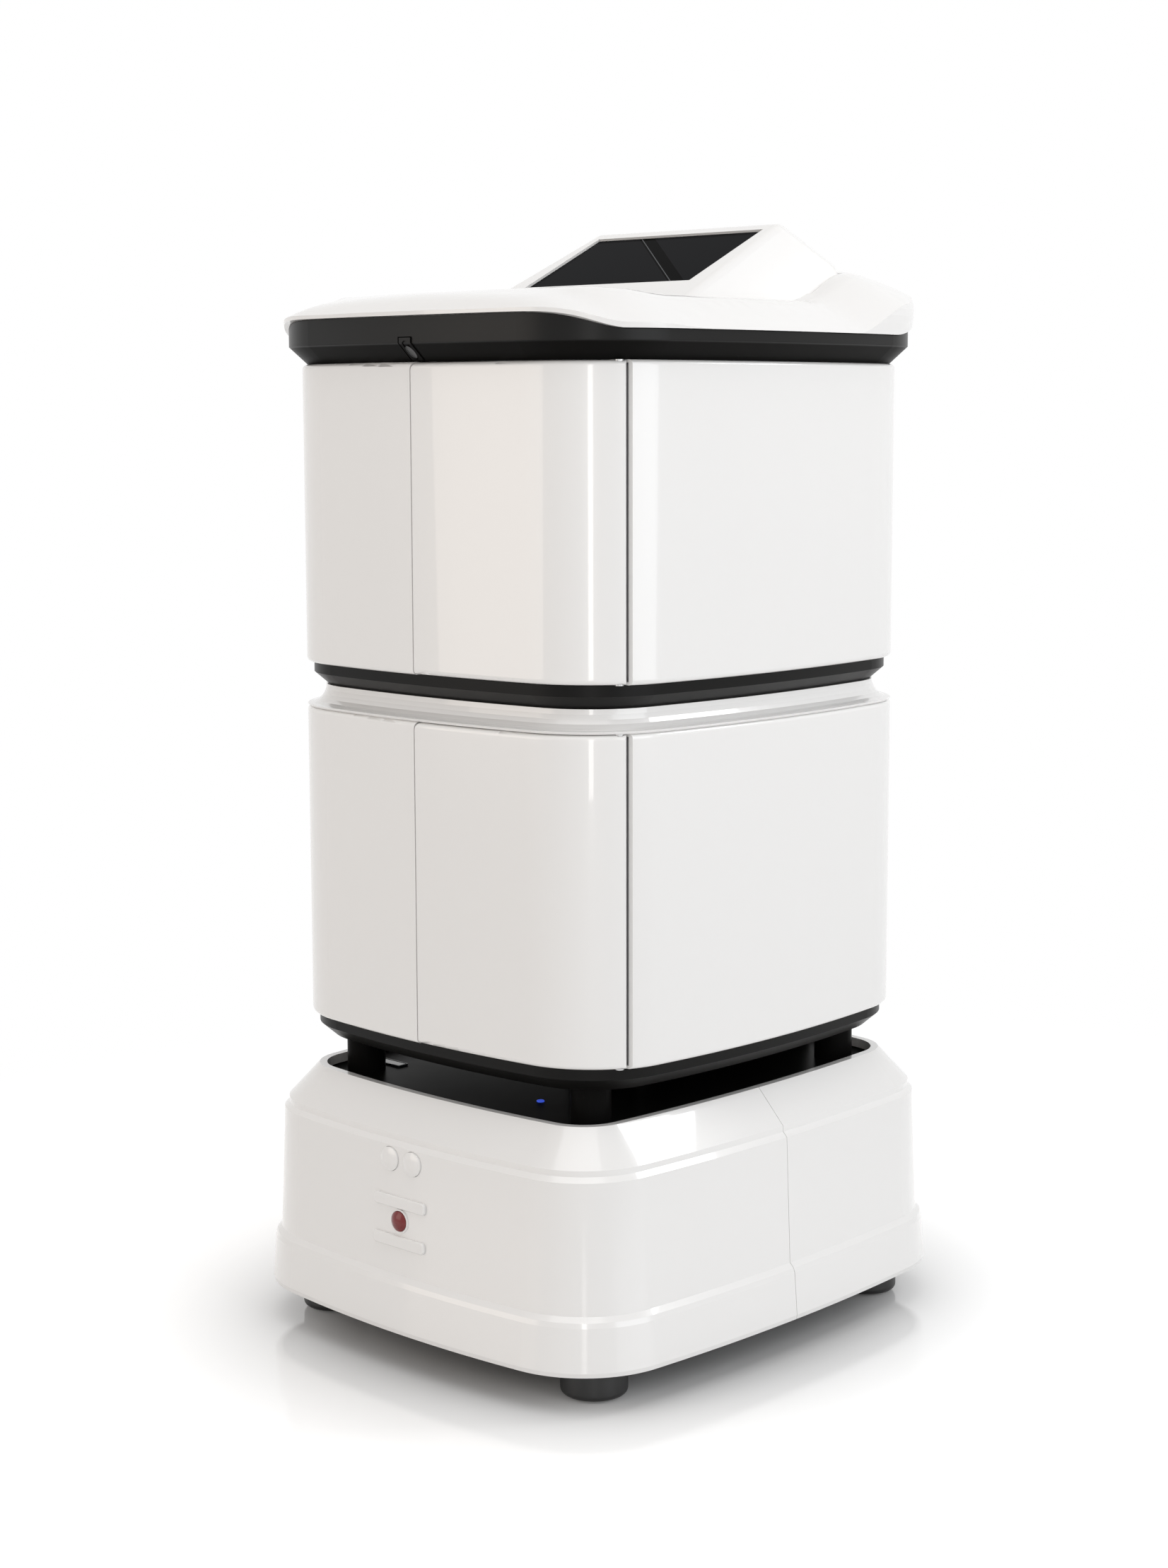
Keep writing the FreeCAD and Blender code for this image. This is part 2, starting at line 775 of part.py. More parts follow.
def latch_cell(grow):
    """The block behind the collar's wall that the latch slides in."""
    half = latch_width / 2 + latch_side_room + latch_cell_wall + grow
    front = -(cabinet.half_depth - collar_foot_inset - collar_wall / 2)
    back = front - collar_wall / 2 + latch_depth + latch_gap + latch_travel + latch_cell_wall + grow
    top = upper_wall_top + 1 + latch_height + latch_gap + latch_cell_wall / 2 + grow
    foot = upper_wall_top + cover_wall - 1 - grow
    cell = box(latch_x - half, latch_x + half, front - collar_overhang, back, foot, top)
    inner = collar_overhang - 1
    within = [(-collar_foot_inset - 1, upper_wall_top), (inner, collar_kink), (inner, collar_top)]
    return cell.common(cabinet.stack(within))


def collar_pocket(inset):
    """The hollow of the collar, above its floor."""
    return cabinet.stack(
        [
            (inset, upper_wall_top + cover_wall),
            (collar_overhang - collar_wall, collar_kink + pocket_lift),
            (collar_overhang - collar_wall, collar_top + 20),
        ]
    )


def head_deck():
    """Plate across the collar, under the lid, seated on the collar's sloping wall."""
    foot = collar_side_top - head_deck_drop
    low = upper_wall_top + cover_wall
    share = (foot - low) / (collar_kink + pocket_lift - low)
    start = -collar_foot_inset - collar_wall
    offset = start + (collar_overhang - collar_wall - start) * share - seat_gap
    plate = cabinet.prism(offset, foot, foot + head_deck_thickness)
    return plate.cut(latch_cell(seat_gap))


hinge_xs = (-hinge_offset_x, hinge_offset_x)
hinge_y = cabinet.half_depth + lid_overhang + hinge_stand_off
hinge_z = collar_rear_top - 3.0


def knuckle(x, side):
    """One knuckle of a lid hinge: side 0 is the collar's, -1 and 1 are the lid's two."""
    length = knuckle_length if side == 0 else knuckle_length / 2
    centre = x + side * (knuckle_length * 0.75 + 0.5)
    x0 = centre - length / 2
    body = rod(hinge_radius, length, V(x0, hinge_y, hinge_z), V(1, 0, 0))
    if side == 0:
        leaf_y = cabinet.front_y(abs(x) + length, collar_overhang) - 2
        leaf = box(x0, x0 + length, leaf_y, hinge_y, hinge_z - hinge_radius, hinge_z - 1)
    else:
        leaf_y = cabinet.front_y(abs(centre) + length, lid_overhang) - 4
        top = hinge_z + hinge_radius + 4
        leaf = box(x0, x0 + length, leaf_y, hinge_y, hinge_z + 4.2, top)
        leaf = leaf.fuse(box(x0, x0 + length, hinge_y - 3, hinge_y + 3, hinge_z, top))
    hole = hinge_pin_radius + (running_gap if side else 0)
    return body.fuse(leaf).cut(rod(hole, length + 2, V(x0 - 1, hinge_y, hinge_z), V(1, 0, 0)))


def hinge_pins():
    length = 2 * knuckle_length + 1
    starts = [V(x - length / 2, hinge_y, hinge_z) for x in hinge_xs]
    return Part.makeCompound([rod(hinge_pin_radius, length, start, V(1, 0, 0)) for start in starts])


def lid_height(x, y):
    """Height of the lid's upper skin at a plan point."""
    d = cabinet.inside(x, y, lid_overhang)
    behind = smooth_step((y - rim_front) / (rim_crest - rim_front))
    run = flank_run + (rim_run - flank_run) * behind
    t = min(d / run, 1.0)
    climb = flank_rise * (1 - (1 - t) ** flank_power if t > 0 else flank_power * t)
    level = smooth_step((d - 0.6 * flank_run) / crown_run)
    edge = top_line(y)
    centre = collar_top - top_dish
    aside = smooth_step((abs(x) - side_fall_from.x) / side_fall_run)
    fall = side_fall * aside * smooth_step((y - side_fall_from.y) / side_fall_run)
    blend = ((centre - edge) * level - fall) * (1 - behind)
    return edge + lip_height + climb + blend + rim_wall * behind


def lid_blank():
    """The lid's outer form: a lip that widens upwards, and a full round nose behind."""
    top = collar_rear_top
    return cabinet.stack(
        [
            (lid_overhang - 3.0, lid_foot),
            (lid_overhang - 2.2, top - 6),
            (lid_overhang - 1.2, top),
            (lid_overhang - 0.2, top + 8),
            (lid_overhang, top + 15),
            (lid_overhang - 0.5, top + 21),
            (lid_overhang - 2.0, top + 27),
            (lid_overhang - 5.0, top + 33),
            (lid_overhang - 11.0, top + 39),
            (lid_overhang - 22.0, top + 45),
            (lid_overhang - 60.0, top + 64),
        ]
    )


def under_lid_skin():
    """Everything under the lid's crowned upper skin."""
    half_x = cabinet.half_width + lid_overhang + 12
    half_y = cabinet.half_depth + lid_overhang + 12
    grid = []
    for i in range(skin_rows + 1):
        x = -half_x + 2 * half_x * i / skin_rows
        row = []
        for j in range(skin_rows + 1):
            y = -half_y + 2 * half_y * j / skin_rows
            row.append(V(x, y, lid_height(x, y)))
        grid.append(row)
    skin = Part.BSplineSurface()
    skin.interpolate(grid)
    return skin.toShape().extrude(V(0, 0, -150))


lid_foot = collar_side_top + 1.0
plateau = collar_top - top_dish + lip_height + flank_rise


def lid_shell(hood):
    """White lid: a lip that follows the collar, a crowned top, a raised rear rim round a well."""
    body = lid_blank().common(under_lid_skin())
    nest = collar_overhang - collar_wall - 1.5
    outside = cabinet.prism(lid_overhang + 1, lid_foot - 1, collar_top + 30)
    outside = outside.cut(cabinet.prism(nest, lid_foot - 2, collar_top + 31))
    body = body.cut(outside.cut(above_line(0.8)))
    well = cabinet.prism(lid_overhang - well_inset, plateau, plateau + 3 * rim_wall)
    body = body.cut(well)
    cavity_top = plateau - hood_sink - 2 * lid_wall
    inner = nest - lid_wall
    steps = [(inner, lid_foot - 1), (inner, lid_foot + 3), (inner - cavity_taper, cavity_top)]
    cavity = cabinet.stack(steps)
    body = body.cut(cavity).cut(hood)
    return fused([body] + [knuckle(x, side).cut(body) for x in hinge_xs for side in (-1, 1)])


def lid_panel():
    nest = collar_overhang - collar_wall - 1.5
    return cabinet.prism(nest, lid_foot - lid_panel_thickness, lid_foot)


def moved(shape, by):
    result = shape.copy()
    result.translate(by)
    return result


def beyond(point, normal):
    """A large block that fills the side of a plane to which its normal points."""
    size = 2 * far
    block = Part.makeBox(size, size, size, V(-size / 2, -size / 2, 0))
    block.Placement = FreeCAD.Placement(point, FreeCAD.Rotation(V(0, 0, 1), normal))
    return block


tilt = math.radians(screen_tilt)
along_screen = V(0, math.cos(tilt), math.sin(tilt))
off_screen = V(0, -math.sin(tilt), math.cos(tilt))
hood_foot = V(0, hood_front_y, plateau)
hood_ridge = hood_foot + along_screen * (screen_foot_margin + screen_length + screen_top_margin)
screen_centre = hood_foot + along_screen * (screen_foot_margin + screen_length / 2)


def hood_blank(grow, foot):
    """The wedge of the display hood; a negative grow gives the hollow inside it."""
    block = box(-far / 2, far / 2, hood_front_y - 40, hood_back_y + grow, foot, hood_ridge.z + 30)
    front = hood_foot + off_screen * grow * (1 if grow >= 0 else hood_front_share)
    block = block.cut(beyond(front, off_screen))
    back = math.radians(hood_back_tilt)
    back_normal = V(0, math.sin(back), math.cos(back))
    block = block.cut(beyond(hood_ridge + back_normal * grow, back_normal))
    for side in (-1, 1):
        lean = math.tan(math.radians(hood_side_tilt))
        flare = -math.tan(math.radians(hood_side_yaw))
        normal = V(side, flare, lean).normalize()
        corner = V(side * hood_foot_width / 2, hood_front_y, plateau)
        block = block.cut(beyond(corner + normal * grow, normal))
    return block


def hood_edges(e):
    """Every edge of the wedge above the lid, apart from the one that meets it in front."""
    b = e.BoundBox
    return b.ZMax > plateau + 8 and b.ZMin > plateau - hood_sink + 0.01 or b.ZLength > 20


def on_screen(width, length, depth_from, depth_to):
    """A block on the screen's axes, from one depth below the hood's face to another."""
    block = Part.makeBox(width, length, depth_to - depth_from, V(-width / 2, -length / 2, -depth_to))
    block.Placement = FreeCAD.Placement(screen_centre, FreeCAD.Rotation(V(1, 0, 0), screen_tilt))
    return block


def display_hood():
    """White hood with the screen's frame, hollow behind."""
    outer = hood_blank(0, plateau - hood_sink)
    outer = rounded(outer, hood_round, hood_edges)
    inner = hood_blank(-cover_wall, plateau - hood_sink - 1)
    body = outer.cut(inner)
    deep = screen_recess + glass_thickness
    body = body.cut(on_screen(screen_width, screen_length, -5, deep))
    window = 2 * module_margin
    return body.cut(on_screen(screen_width - window, screen_length - window, 0, 40))


def screen_glass():
    gap = 2 * seat_gap
    low = screen_recess + glass_thickness
    return on_screen(screen_width - gap, screen_length - gap, screen_recess, low)


def display_module():
    margin = 2 * module_margin + 2 * seat_gap
    low = screen_recess + glass_thickness
    return on_screen(screen_width - margin, screen_length - margin, low, low + module_thickness)


# ---- lidar gap ----


def at_corners(x, y, make):
    """Four copies of one shape, at the corners of a rectangle."""
    return Part.makeCompound([moved(make(), V(sx * x, sy * y, 0)) for sx in (-1, 1) for sy in (-1, 1)])


def posts():
    return at_corners(post_x, post_y, lambda: rod(post_radius, lidar_gap, V(0, 0, deck_top)))


def deck():
    """The black deck, with the rear column that takes the cables up to the cabinets."""
    plate = base.prism(inset_rim + rim_width - seat_gap, deck_top - deck_thickness, deck_top)
    half = column_width / 2
    column = box(-half, half, column_front, column_back, deck_top - 1, lower_tray_foot)
    column = rounded(column, box_round, lambda e: e.BoundBox.ZLength > lidar_gap / 2)
    return fused([plate, column])


def lidar_base():
    body = rod(lidar_radius, lidar_base_height, V(lidar_x, lidar_y, deck_top))
    return rounded(body, 2, at_height(deck_top + lidar_base_height))


def lidar_head():
    foot = deck_top + lidar_base_height + seat_gap
    body = rod(lidar_radius - 2, lidar_head_height, V(lidar_x, lidar_y, foot))
    return rounded(body, 4, at_height(foot + lidar_head_height))


def deck_window():
    frame = box(-window_length / 2, window_length / 2, -window_width / 2, window_width / 2, 0, trim_height)
    frame = rounded(frame, 2.5, lambda e: abs(e.BoundBox.ZLength - trim_height) < 0.01)
    return moved(frame, V(window_x, window_y, deck_top))


def status_led():
    lamp = rod(led_radius, trim_height, V(led_x, led_y, deck_top))
    return rounded(lamp, trim_height / 2, at_height(deck_top + trim_height))


# ---- chassis, battery, drive ----


chassis_foot = ground_gap + chassis_clearance
chassis_top = chassis_foot + chassis_thickness
axle_z = tyre_radius
arm_x = drive_x - tyre_width / 2 - arm_gap - arm_thickness
bracket_x = arm_x - seat_gap - bracket_thickness
spring_x = drive_x - tyre_width / 2 - spring_clearance - spring_radius
spring_bracket_x = spring_x - spring_radius - spring_clearance - bracket_thickness
spring_foot = axle_z + arm_radius
spring_top = spring_foot + spring_length


def chassis():
    """Steel floor plate with wheel wells, pillars up to the deck and the brackets of both arms."""
    plate = base.prism(-chassis_inset, chassis_foot, chassis_top)
    half = tyre_radius + wheel_well_gap
    for side in (-1, 1):
        x_in = arm_x - wheel_well_gap
        x_out = drive_x + tyre_width / 2 + wheel_well_gap
        low, high = chassis_foot - 1, chassis_top + 1
        plate = plate.cut(side_box(side, x_in, x_out, -half, half, low, high))
        room = motor_radius + gearbox_step + wheel_well_gap
        slot = arm_x - motor_length - wheel_well_gap
        plate = plate.cut(side_box(side, slot, arm_x, -room, room, low, high))
        for sy in (-1, 1):
            at = V(side * caster_x, sy * caster_y, chassis_foot - 1)
            plate = plate.cut(rod(kingpin_radius + running_gap, chassis_thickness + 2, at))
    parts = [plate]
    reach = deck_top - deck_thickness - chassis_top
    for sx in (-1, 1):
        for sy in (-1, 1):
            parts.append(rod(pillar_radius, reach, V(sx * pillar_x, sy * pillar_y, chassis_top)))
    for side in (-1, 1):
        parts.append(arm_bracket(side))
        parts.append(spring_bracket(side))
    return fused(parts)


def side_box(side, x0, x1, y0, y1, z0, z1):
    xs = sorted((side * x0, side * x1))
    return box(xs[0], xs[1], y0, y1, z0, z1)


def arm_bracket(side):
    """Upright that carries the pivot pin of a suspension arm."""
    y0 = arm_reach - bracket_width / 2
    y1 = y0 + bracket_width
    x1 = bracket_x + bracket_thickness
    plate = side_box(side, bracket_x, x1, y0, y1, chassis_top - 1, axle_z + bracket_width / 2)
    length = bracket_thickness + seat_gap + arm_thickness + 3
    start = V(side * bracket_x, arm_reach, axle_z)
    return plate.fuse(rod(shaft_radius, length, start, V(side, 0, 0)))


def spring_bracket(side):
    """Arch over the spring, standing on the floor plate inboard of the arm."""
    y0 = -spring_reach - bracket_width / 2
    y1 = y0 + bracket_width
    x0 = spring_bracket_x
    top = spring_top + bracket_thickness
    foot = side_box(side, x0, x0 + bracket_thickness, y0, y1, chassis_top - 1, top)
    cap = side_box(side, x0, spring_x + spring_radius, y0, y1, spring_top, top)
    return foot.fuse(cap)


def drive_arm(side):
    """Trailing arm: pivot eye, motor flange and spring seat in one plate."""
    x = side * arm_x
    out = V(side, 0, 0)
    eye = rod(bracket_width / 2, arm_thickness, V(x, arm_reach, axle_z), out)
    flange = rod(arm_radius, arm_thickness, V(x, 0, axle_z), out)
    x1 = arm_x + arm_thickness
    front = -spring_reach - spring_radius
    back = -spring_reach + spring_radius
    low, high = spring_x - spring_radius, spring_x + spring_radius
    beam = side_box(side, arm_x, x1, 0, arm_reach, axle_z - arm_beam / 2, axle_z + arm_beam / 2)
    tail = side_box(side, arm_x, x1, -spring_reach, 0, axle_z, axle_z + arm_beam / 2)
    post = side_box(side, arm_x, x1, front, back, axle_z, spring_foot)
    seat = side_box(side, low, high, front, back, spring_foot - spring_seat, spring_foot)
    arm = fused([eye, flange, beam, tail, post, seat])
    for y, radius in ((arm_reach, shaft_radius + running_gap), (0, shaft_radius + 2)):
        arm = arm.cut(rod(radius, 3 * arm_thickness, V(x - side * arm_thickness, y, axle_z), out))
    return arm


def drive_motor(side):
    """Gear motor on the inner face of the arm, its shaft through the flange."""
    x = side * arm_x
    body = rod(motor_radius, motor_length, V(x, 0, axle_z), V(-side, 0, 0))
    inwards = V(-side, 0, 0)
    gearbox = rod(motor_radius + gearbox_step, motor_length * 0.35, V(x, 0, axle_z), inwards)
    boss = rod(shaft_radius + 1.5, arm_thickness + arm_gap * 0.5, V(x, 0, axle_z), -inwards)
    start = V(x - side * stub_depth, 0, axle_z)
    bore = rod(stub_radius + running_gap, motor_length, start, -inwards)
    return fused([body, gearbox, boss]).cut(bore)


def hub(side):
    """Wheel hub: rim, dished web with round holes, and the stub shaft that enters the gearbox."""
    x_in = drive_x - tyre_width / 2
    start = V(side * x_in, 0, axle_z)
    out = V(side, 0, 0)
    rim = tube(hub_radius, hub_radius - hub_rim, tyre_width, start, out)
    web = rod(hub_radius - hub_rim / 2, tyre_width - 2 * hub_dish, start + out * hub_dish, out)
    for i in range(hub_holes):
        angle = 2 * math.pi * i / hub_holes
        at = V(0, math.cos(angle), math.sin(angle)) * hub_hole_circle
        web = web.cut(rod(hub_hole_radius, tyre_width, start + at, out))
    centre = rod(shaft_radius * 2, tyre_width - hub_dish, start, out)
    shaft = rod(stub_radius, arm_gap + arm_thickness + stub_depth - 2, start, -out)
    return fused([rim, web, centre, shaft])


def tyre(side):
    start = V(side * (drive_x - tyre_width / 2), 0, axle_z)
    out = V(side, 0, 0)
    blank = rod(tyre_radius, tyre_width, start, out)
    blank = rounded(blank, tyre_round, lambda e: e.BoundBox.XLength < 0.01)
    return blank.cut(rod(hub_radius, tyre_width + 2, start - out, out))


def rubber_spring(side):
    at = V(side * spring_x, -spring_reach, spring_foot + seat_gap)
    length = spring_length - 2 * seat_gap
    waist = tube(spring_waist, spring_bore, length, at)
    pitch = length / 3
    starts = [at + V(0, 0, pitch * (i + 0.15)) for i in range(3)]
    return fused([waist] + [tube(spring_radius, spring_bore, pitch * 0.7, start) for start in starts])


def power_box(height, y):
    """A closed box on the floor plate, with rounded corners and cooling ribs on top."""
    half = spring_bracket_x - box_room
    foot = chassis_top + seat_gap
    top = chassis_top + height
    body = box(-half, half, y - box_length / 2, y + box_length / 2, foot, top)
    body = rounded(body, box_round, lambda e: e.BoundBox.ZLength > height / 2)
    reach = 0.8 * half
    ribs = []
    for k in range(-2, 3):
        y0 = y + k * rib_pitch - rib_width / 2
        ribs.append(box(-reach, reach, y0, y0 + rib_width, top - 1, top + rib_height))
    return fused([body] + ribs)


# ---- casters ----


def caster_cup():
    """Swivel cup with its kingpin and the axle of its wheel, about the swivel axis."""
    cup = rod(caster_radius, caster_cup_height, V(0, 0, caster_lift))
    cup = rounded(cup, caster_round, at_height(caster_lift))
    roof = caster_lift + caster_cup_height
    hollow = caster_radius - caster_wall
    cup = cup.cut(rod(hollow, caster_cup_height - caster_wall + 1, V(0, 0, caster_lift - 1)))
    pin = rod(kingpin_radius, kingpin_length, V(0, 0, roof - 1))
    half = math.sqrt(hollow**2 - caster_trail**2) + 1
    axle = rod(caster_axle_radius, 2 * half, V(-half, caster_trail, caster_wheel_radius), V(1, 0, 0))
    return fused([cup, pin, axle])


def caster_wheel():
    start = V(-caster_wheel_width / 2, caster_trail, caster_wheel_radius)
    wheel = rod(caster_wheel_radius, caster_wheel_width, start, V(1, 0, 0))
    wheel = rounded(wheel, caster_axle_radius, lambda e: e.BoundBox.XLength < 0.01)
    bore = rod(caster_axle_radius + running_gap, caster_wheel_width + 2, start - V(1, 0, 0), V(1, 0, 0))
    return wheel.cut(bore)


def swivel_race():
    low = caster_lift + caster_cup_height + seat_gap
    return tube(swivel_race_radius, kingpin_radius + running_gap, chassis_foot - low, V(0, 0, low))


# ---- every piece, one file each ----


def main():
    os.makedirs("parts", exist_ok=True)
    cover = base_cover()
    holes = front_holes()
    for hole in holes:
        cover = cover.cut(hole)
    save("base_cover_front", cover.common(box(-far, far, -far, -half_seam, 0, rim_top + 1)))
    save("base_cover_rear", cover.common(box(-far, far, half_seam, far, 0, rim_top + 1)))
    save("deck_plate", deck())
    save("chassis_frame", chassis())
    save("battery_pack", power_box(battery_height, -box_y))
    save("control_unit", power_box(control_height, box_y))
    save("support_posts", posts())
    save("lidar_base", lidar_base())
    save("lidar_head", lidar_head())
    save("deck_window", deck_window())
    save("status_led", status_led())

    save("switch_block", switch_block())
    for name, x in zip(("left", "right"), button_xs):
        button = domed_button(button_radius, x, button_height, button_proud, button_travel)
        save("front_button_" + name, button)
    save("stop_button", domed_button(stop_radius, 0, stop_height, stop_proud, stop_travel))
    save("stop_ring", stop_ring())
    save("guard_bars", Part.makeCompound([guard_bar(z) for z in guard_heights]))

    levels = (("lower", lower_wall_foot, lower_wall_top), ("upper", upper_wall_foot, upper_wall_top))
    for name, z0, z1 in levels:
        left, right = shells(z0, z1)
        save(name + "_shell_left", left)
        save(name + "_shell_right", right)
        save(name + "_door", door(z0, z1))
        save(name + "_door_pivots", pivots(z0, z1))
        save(name + "_liner", liner(z0, z1))
        save(name + "_door_seal", seal(z0, z1))
    save("lower_tray", tray(lower_tray_foot))
    save("upper_tray", tray(upper_tray_foot))
    save("lower_neck", neck())

    save("collar", collar())
    save("head_deck", head_deck())
    save("latch", latch())
    hood = hood_blank(0, plateau - hood_sink)
    save("lid_shell", lid_shell(hood))
    save("lid_panel", lid_panel())
    save("lid_hinge_pins", hinge_pins())
    save("display_hood", display_hood())
    save("screen_glass", screen_glass())
    save("display_module", display_module())

    for name, side in (("left", -1), ("right", 1)):
        save("drive_arm_" + name, drive_arm(side))
        save("drive_motor_" + name, drive_motor(side))
        save("drive_hub_" + name, hub(side))
        save("drive_tyre_" + name, tyre(side))
        save("rubber_spring_" + name, rubber_spring(side))

    for name, sx, sy in caster_places:
        at = V(sx * caster_x, sy * caster_y, 0)
        save("caster_cup_" + name, moved(caster_cup(), at))
        save("caster_wheel_" + name, moved(caster_wheel(), at))
    save("caster_races", at_corners(caster_x, caster_y, swivel_race))


main()
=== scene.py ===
import json
import math

import bpy
from mathutils import Matrix, Vector
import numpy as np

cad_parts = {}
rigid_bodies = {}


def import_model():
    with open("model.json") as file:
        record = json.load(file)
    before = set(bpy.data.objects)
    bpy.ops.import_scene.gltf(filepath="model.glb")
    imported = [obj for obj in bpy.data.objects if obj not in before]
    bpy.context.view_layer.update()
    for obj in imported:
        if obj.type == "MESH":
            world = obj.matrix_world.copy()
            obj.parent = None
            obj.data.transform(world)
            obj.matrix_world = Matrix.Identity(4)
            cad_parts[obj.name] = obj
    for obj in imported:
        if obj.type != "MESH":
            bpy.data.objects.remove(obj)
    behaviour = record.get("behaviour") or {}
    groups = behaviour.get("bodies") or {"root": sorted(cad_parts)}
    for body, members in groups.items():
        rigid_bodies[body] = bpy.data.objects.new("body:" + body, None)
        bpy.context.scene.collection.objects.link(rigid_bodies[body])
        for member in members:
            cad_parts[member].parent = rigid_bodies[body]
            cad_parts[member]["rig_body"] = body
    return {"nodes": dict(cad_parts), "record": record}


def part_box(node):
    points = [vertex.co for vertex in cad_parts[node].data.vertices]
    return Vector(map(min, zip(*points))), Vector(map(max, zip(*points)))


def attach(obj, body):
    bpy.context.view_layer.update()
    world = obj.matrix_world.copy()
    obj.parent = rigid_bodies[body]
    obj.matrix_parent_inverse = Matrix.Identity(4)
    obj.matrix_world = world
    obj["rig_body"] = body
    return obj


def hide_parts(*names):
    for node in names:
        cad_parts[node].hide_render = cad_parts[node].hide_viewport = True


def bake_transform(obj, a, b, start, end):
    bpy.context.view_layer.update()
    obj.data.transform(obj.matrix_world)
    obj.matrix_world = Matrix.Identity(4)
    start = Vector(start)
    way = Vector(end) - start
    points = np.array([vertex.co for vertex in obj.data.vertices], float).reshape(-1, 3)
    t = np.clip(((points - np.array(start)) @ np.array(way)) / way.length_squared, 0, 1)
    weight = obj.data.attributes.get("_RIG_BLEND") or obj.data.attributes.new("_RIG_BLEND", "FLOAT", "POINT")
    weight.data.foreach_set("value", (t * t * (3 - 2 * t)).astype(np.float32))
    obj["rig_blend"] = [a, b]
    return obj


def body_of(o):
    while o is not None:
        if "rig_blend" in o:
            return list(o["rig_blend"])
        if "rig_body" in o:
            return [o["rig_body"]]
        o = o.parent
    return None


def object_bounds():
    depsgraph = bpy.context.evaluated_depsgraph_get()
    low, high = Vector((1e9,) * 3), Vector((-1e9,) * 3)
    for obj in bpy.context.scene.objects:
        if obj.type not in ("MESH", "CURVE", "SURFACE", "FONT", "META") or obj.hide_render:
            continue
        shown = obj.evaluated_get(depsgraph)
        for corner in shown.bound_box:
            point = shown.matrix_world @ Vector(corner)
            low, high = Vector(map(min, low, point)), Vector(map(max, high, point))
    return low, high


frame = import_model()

# Looks of an indoor delivery robot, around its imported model. Metres, +Z up, front faces -Y.


def corners():
    low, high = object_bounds()
    return [list(low), list(high)]


loaded_size = corners()

NODES = frame["nodes"]
SMOOTH_ANGLE = math.radians(32)

# finishes
GLASS = (0.0095, 0.0098, 0.011)
# painted reflection on the display glass: a dark band across it and a thin light line beside the band
REFLECTION_DARK = (0.001, 0.001, 0.001)
REFLECTION_LIGHT = (0.1, 0.103, 0.108)
REFLECTION_TOP = -0.476  # where the painted reflection's light line meets the glass's edges, as a share of half its width
REFLECTION_FOOT = 0.79
REFLECTION_SHIFT = 0.0075  # from the painted reflection's light line to the middle of its dark band
REFLECTION_HALF_BAND = 0.007
REFLECTION_HALF_LINE = 0.0005
UNDERCUT = 0.018  # height of the collar's sloping lower band
MATT = 0.02  # specular levels of the black paint
TRAY_SHEEN = 0.12
BAND_SHEEN = 0.18

# small pieces
FRAME_LINE = 0.0016  # width of the deck window's edge line
FRAME_RISE = 0.0004
FRAME_EDGE = 0.00013
PAD_REACH = 0.005  # half the width of the latch's thumb pad
PAD_STRETCH = 1.7
PAD_RISE = 0.0006
PAD_RIM = 0.0007
PAD_DISH = 0.0005
PAD_EDGE = 0.00015
WASHER_REACH = 0.00975
WASHER_RISE = 0.0013
WASHER_LIP = 0.00325  # from the washer's rim to the screw's head
SCREW_RISE = 0.00455
SCREW_WALL = 0.0029  # round the socket in the screw's head
SCREW_SOCKET = 0.00325
SCREW_EDGE = 0.00032
WELD = 0.00001

# stage
WORLD_FILL = 0.47
WHITE = (1, 1, 1)
FLOOR_RADIUS = 9
FLOOR_DROP = 0.0005
FLOOR_GREY = 0.8
# painted light lifts the floor away from the robot; its lack close round the robot darkens the floor there as
# painted shadow, on top of the real shadow
FLOOR_PAINTED_LIFT = 0.42
PAINTED_LIFT_FROM, PAINTED_LIFT_TO = 0.8, 1.9  # distances from the middle, in half sizes of the robot, over which the painted light on the floor rises from none
WHITE_FROM, WHITE_TO = 2.2, 5.0

# camera
AZIMUTH = math.radians(43.53)
ELEVATION = math.radians(8.01)
ROLL = math.radians(-0.15)
LENS = 61.17
DISTANCE = 2.8683
AIM_ASIDE = -0.0187
AIM_HEIGHT = 0.572


# ---- shader nodes ----


def principled(name, color, roughness, metallic=0.0, specular=0.5):
    """A material with one Principled shader; returns it with its node tree and shader."""
    material = bpy.data.materials.new(name)
    material.use_nodes = True
    tree = material.node_tree
    shader = tree.nodes["Principled BSDF"]
    shader.inputs["Base Color"].default_value = (*color, 1)
    shader.inputs["Roughness"].default_value = roughness
    shader.inputs["Metallic"].default_value = metallic
    shader.inputs["Specular IOR Level"].default_value = specular
    return material, tree, shader


def object_noise(tree, scale, detail=2.0):
    """Noise in the row frame's coordinates."""
    place = tree.nodes.new("ShaderNodeTexCoord")
    noise = tree.nodes.new("ShaderNodeTexNoise")
    noise.inputs["Scale"].default_value = scale
    noise.inputs["Detail"].default_value = detail
    tree.links.new(place.outputs["Object"], noise.inputs["Vector"])
    return noise


def add_grain(tree, shader, scale, height, low, high):
    """Surface texture: a bump from noise, and roughness that varies with slower noise."""
    grain = object_noise(tree, scale)
    bump = tree.nodes.new("ShaderNodeBump")
    bump.inputs["Strength"].default_value = 0.35
    bump.inputs["Distance"].default_value = height
    tree.links.new(grain.outputs["Fac"], bump.inputs["Height"])
    tree.links.new(bump.outputs["Normal"], shader.inputs["Normal"])
    patches = object_noise(tree, 14.0)
    spread = tree.nodes.new("ShaderNodeMapRange")
    spread.inputs["To Min"].default_value = low
    spread.inputs["To Max"].default_value = high
    tree.links.new(patches.outputs["Fac"], spread.inputs["Value"])
    tree.links.new(spread.outputs["Result"], shader.inputs["Roughness"])


def math_node(tree, operation, first, second=None):
    """A math node; first and second are sockets or numbers. Returns its output."""
    node = tree.nodes.new("ShaderNodeMath")
    node.operation = operation
    for socket, value in zip(node.inputs, (first, second)):
        if isinstance(value, (int, float)):
            socket.default_value = value
        elif value is not None:
            tree.links.new(value, socket)
    return node.outputs[0]


